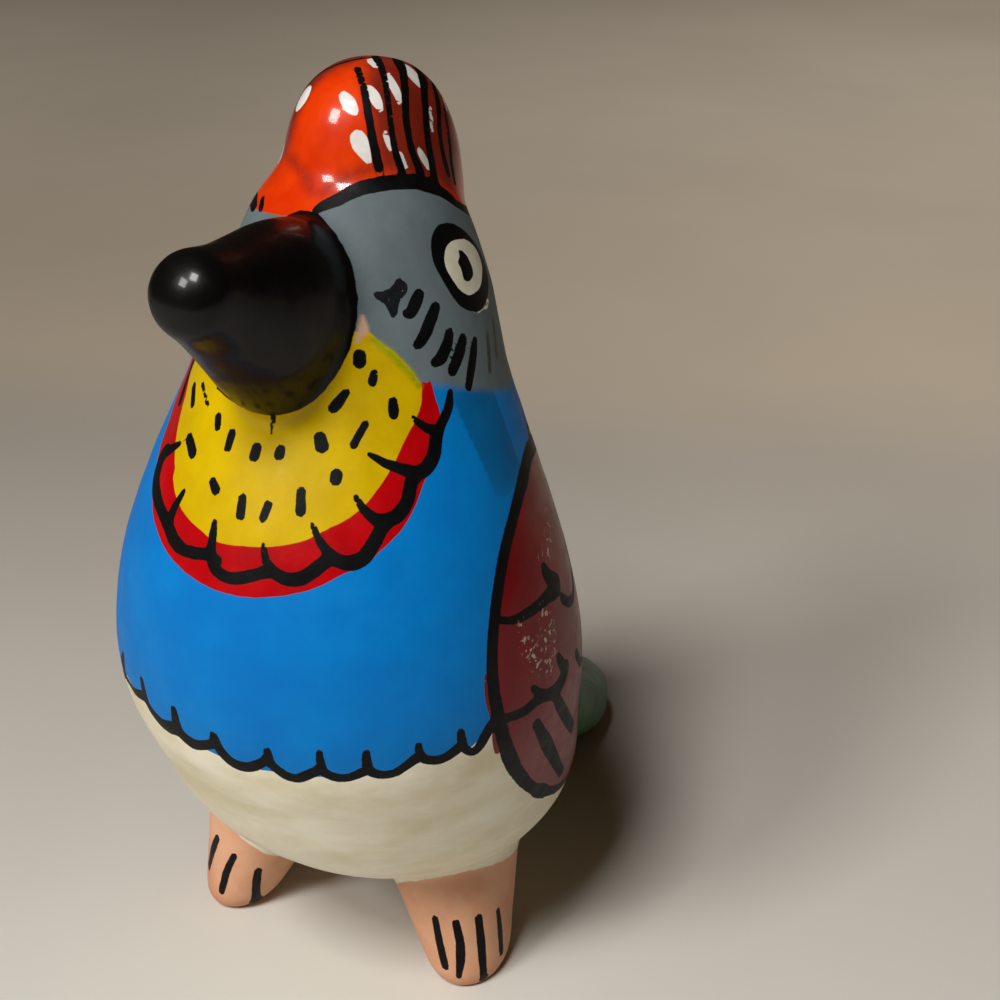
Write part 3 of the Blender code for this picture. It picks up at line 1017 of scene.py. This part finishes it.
def makeBrushTone():
    group, start, end = newGroup("brushTone", (("Deep", "NodeSocketColor", (0, 0, 0, 1)),
                                               ("Light", "NodeSocketColor", (1, 1, 1, 1)),
                                               ("Size", "NodeSocketFloat", 200.0),
                                               ("Stretch", "NodeSocketFloat", 1.0)),
                                 (("Color", "NodeSocketColor"), ("Streaks", "NodeSocketFloat")))
    place = objectPlace(group)
    stretch = addNode(group, "ShaderNodeCombineXYZ")
    stretch.inputs[0].default_value = 1.0
    stretch.inputs[1].default_value = 1.0
    group.links.new(start.outputs["Stretch"], stretch.inputs[2])
    drawn = vectorNode(group, "MULTIPLY", place, stretch.outputs[0])
    streaks = grain(group, drawn, start.outputs["Size"], 5.0, 0.6)
    broadSize = mathNode(group, "MULTIPLY", start.outputs["Size"], handFinish["broadGrain"])
    broad = grain(group, place, broadSize, 2.0)
    both = mathNode(group, "ADD", mathNode(group, "MULTIPLY", streaks, handFinish["streakShare"]),
                    mathNode(group, "MULTIPLY", broad, 1 - handFinish["streakShare"]))
    share = ramp(group, both, *handFinish["toneSpan"])
    colour = mixColours(group, share, start.outputs["Deep"], start.outputs["Light"])
    group.links.new(colour, end.inputs["Color"])
    group.links.new(streaks, end.inputs["Streaks"])
    return group


paintEdge = makePaintEdge()
brushTone = makeBrushTone()


def addGroup(tree, group, **values):
    node = addNode(tree, "ShaderNodeGroup", node_tree=group)
    for name, source in values.items():
        feed(tree, node.inputs[name], source)
    return node


def fieldMask(tree, name, wobble, softness):
    reader = addNode(tree, "ShaderNodeAttribute", attribute_type="GEOMETRY", attribute_name=name)
    edge = addGroup(tree, paintEdge, Distance=reader.outputs["Fac"], Wobble=wobble, Softness=softness)
    return edge.outputs["Mask"]


def makePaintedClay():
    material = bpy.data.materials.new("paintedClay")
    material.use_nodes = True
    tree = material.node_tree
    shader = tree.nodes["Principled BSDF"]
    place = objectPlace(tree)

    def tone(paint):
        deep, light = screenColour(paint["deep"]), screenColour(paint["light"])
        size, stretch = float(paint["size"]), float(paint["stretch"])
        return addGroup(tree, brushTone, Deep=deep, Light=light, Size=size, Stretch=stretch)

    cream = {**paintDefaults, **paints["cream"]}
    ground = tone(cream)
    colour = ground.outputs["Color"]
    streaks = ground.outputs["Streaks"]
    rough = cream["rough"]
    varnish = cream["varnish"]
    speckle = grain(tree, place, handFinish["smudgeGrain"], 2.0)
    for name in paintOrder:
        paint = {**paintDefaults, **paints[name]}
        mask = fieldMask(tree, name, paint["wobble"], paint["softness"])
        if name == "smudge":  # rubbed thin while wet
            mask = mathNode(tree, "MULTIPLY", mask, ramp(tree, speckle, *handFinish["smudgeSpan"]))
        if paint["cover"] < 1:
            mask = mathNode(tree, "MULTIPLY", mask, paint["cover"])
        layer = tone(paint)
        colour = mixColours(tree, mask, colour, layer.outputs["Color"])
        streaks = mixValues(tree, mask, streaks, layer.outputs["Streaks"])
        rough = mixValues(tree, mask, rough, paint["rough"])
        varnish = mixValues(tree, mask, varnish, paint["varnish"])
    flecks = ramp(tree, grain(tree, place, handFinish["fleckGrain"]), *handFinish["fleckSpan"])
    worn = fieldMask(tree, "worn", handFinish["wornWobble"], handFinish["wornSoftness"])
    worn = mathNode(tree, "MULTIPLY", worn, flecks)
    colour = mixColours(tree, worn, colour, screenColour(handFinish["wornColour"]))
    rough = mixValues(tree, worn, rough, handFinish["wornRough"])
    varnish = mixValues(tree, worn, varnish, 0.0)
    clouds = grain(tree, place, handFinish["roughGrain"])
    drift = ramp(tree, clouds, *handFinish["cloudSpan"], *handFinish["roughDrift"])
    unevenRough = mathNode(tree, "ADD", rough, drift)
    feed(tree, shader.inputs["Base Color"], colour)
    feed(tree, shader.inputs["Roughness"], unevenRough)
    feed(tree, shader.inputs["Coat Weight"], varnish)
    for name, value in handFinish["constants"].items():
        shader.inputs[name].default_value = value
    clay = grain(tree, place, handFinish["clayGrain"])
    height = mathNode(tree, "ADD", mathNode(tree, "MULTIPLY", clay, handFinish["clayRelief"]),
                      mathNode(tree, "MULTIPLY", streaks, handFinish["brushRelief"]))
    bump = addNode(tree, "ShaderNodeBump")
    bump.inputs["Strength"].default_value = 1.0
    bump.inputs["Distance"].default_value = 1.0
    feed(tree, bump.inputs["Height"], height)
    feed(tree, shader.inputs["Normal"], bump.outputs["Normal"])
    return material


bird.data.materials.clear()
bird.data.materials.append(makePaintedClay())
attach(bird, "root")
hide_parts("bird_figurine")
print("finish made")

# Table, room and light

stageSettings = {
    # The table's colour holds painted light and shade: lighter near the front, darker in the middle, darker
    # to the left and lighter to the right, and lighter far off, where the lamps reach less
    "nearLitColour": (214, 212, 205),
    "middleShadedColour": (186, 178, 166),
    "beyondColour": (204, 190, 170),
    "farLitColour": (238, 226, 206),
    "farEdgeLeft": (0, 385),  # where the table ends in the picture
    "farEdgeRight": (1000, 430),
    "fade": 0.035,
    "farSpan": 0.45,
    "sideSpan": (-0.22, 0.30),
    "sideShadeAndLightTones": (0.62, 1.22),
    "tableSide": 8.0,
    "nearEnd": -0.10,  # where the painted light near the front starts to give way to the painted shade of the middle
    "mottleGrain": 6.0,
    "mottleTones": (0.96, 1.04),
    "constants": {"Roughness": 0.55, "Specular IOR Level": 0.25},
    "roomColour": (0.60, 0.36, 0.19, 1.0),
    "roomStrength": 0.06,
}
lightSettings = {
    "key": {"place": (-0.046, -0.662, 1.066), "size": 0.28, "power": 10.2},
    "side": {"place": (-0.319, -0.694, 0.716), "size": 0.22, "power": 4.6},
    "colour": (1.0, 0.98, 0.95),
    "aim": (0.0, -0.01, 0.06),
}


def onTable(across, down):
    ray = sightLine(across, down)
    return eyePoint - ray * (eyePoint.z / ray.z)


def makeTable():
    sheet = bmesh.new()
    bmesh.ops.create_grid(sheet, x_segments=8, y_segments=8, size=stageSettings["tableSide"] / 2)
    mesh = bpy.data.meshes.new("tableTop")
    sheet.to_mesh(mesh)
    sheet.free()
    table = linkObject("tableTop", mesh)
    material = bpy.data.materials.new("paleTable")
    material.use_nodes = True
    tree = material.node_tree
    shader = tree.nodes["Principled BSDF"]
    place = objectPlace(tree)
    left = onTable(*stageSettings["farEdgeLeft"])
    right = onTable(*stageSettings["farEdgeRight"])
    away = Vector((left.y - right.y, right.x - left.x, 0.0)).normalized()
    reach = vectorNode(tree, "DOT_PRODUCT", place, away)
    far = left.dot(away)
    beyond = ramp(tree, reach, far - stageSettings["fade"], far + stageSettings["fade"])
    clouds = grain(tree, place, stageSettings["mottleGrain"], 4.0)
    tableTone = ramp(tree, clouds, *handFinish["cloudSpan"], *stageSettings["mottleTones"])
    halfway = ramp(tree, reach, stageSettings["nearEnd"], far)
    # painted light near the front, giving way to painted shade in the middle
    top = mixColours(tree, halfway, screenColour(stageSettings["nearLitColour"]),
                     screenColour(stageSettings["middleShadedColour"]))
    # painted light: the wall grows lighter far off
    wall = mixColours(tree, ramp(tree, reach, far, far + stageSettings["farSpan"]),
                      screenColour(stageSettings["beyondColour"]), screenColour(stageSettings["farLitColour"]))
    top = mixColours(tree, beyond, top, wall)
    # painted shade to the left and painted light to the right, away from the front
    side = vectorNode(tree, "DOT_PRODUCT", place, Vector((away.y, -away.x, 0.0)))
    sideways = ramp(tree, side, *stageSettings["sideSpan"], *stageSettings["sideShadeAndLightTones"])
    tableTone = mathNode(tree, "MULTIPLY", tableTone, mixValues(tree, halfway, 1.0, sideways))
    feed(tree, shader.inputs["Base Color"], vectorNode(tree, "SCALE", top, tableTone))
    for name, value in stageSettings["constants"].items():
        shader.inputs[name].default_value = value
    table.data.materials.append(material)


def makeLights():
    for name in ("key", "side"):
        settings = lightSettings[name]
        data = bpy.data.lights.new(name, "AREA")
        data.shape = "SQUARE"
        data.size = settings["size"]
        data.energy = settings["power"]
        data.color = lightSettings["colour"]
        lamp = bpy.data.objects.new(name, data)
        lamp.location = settings["place"]
        toward = Vector(lightSettings["aim"]) - lamp.location
        lamp.rotation_mode = "QUATERNION"
        lamp.rotation_quaternion = toward.to_track_quat("-Z", "Y")
        bpy.context.scene.collection.objects.link(lamp)
    world = bpy.data.worlds.new("room")
    world.use_nodes = True
    background = world.node_tree.nodes["Background"]
    background.inputs["Color"].default_value = stageSettings["roomColour"]
    background.inputs["Strength"].default_value = stageSettings["roomStrength"]
    bpy.context.scene.world = world
    bpy.context.scene.view_settings.view_transform = "Standard"


makeTable()
makeLights()
print("table and light made")
